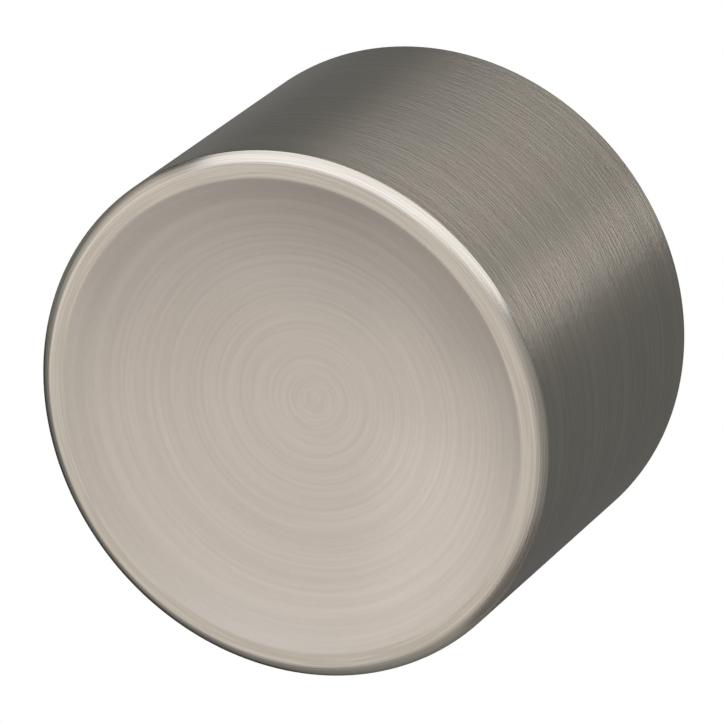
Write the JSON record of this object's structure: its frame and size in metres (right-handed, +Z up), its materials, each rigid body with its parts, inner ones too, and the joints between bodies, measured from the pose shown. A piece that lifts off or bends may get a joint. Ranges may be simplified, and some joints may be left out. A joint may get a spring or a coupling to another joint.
{
  "type": "cabinet knob",
  "caption": "Round cabinet knob, turned in one piece: plain cylinder with a bevelled rim, a shallow finger dish in the front and a tapped screw hole in the flat back.",
  "frame": {"origin": "centre of the flat mounting face, on the knob's axis", "axes": "+Y out of the mounting face, into the door or drawer front, so the finger dish looks along -Y; +Z up; X along the door"},
  "size_m": [0.03, 0.02, 0.03],
  "materials": {
    "knob_metal": "satin, brushed in rings round the knob's axis"
  },
  "bodies": {
    "root": {"knob": "knob_metal"}
  },
  "joints": []
}
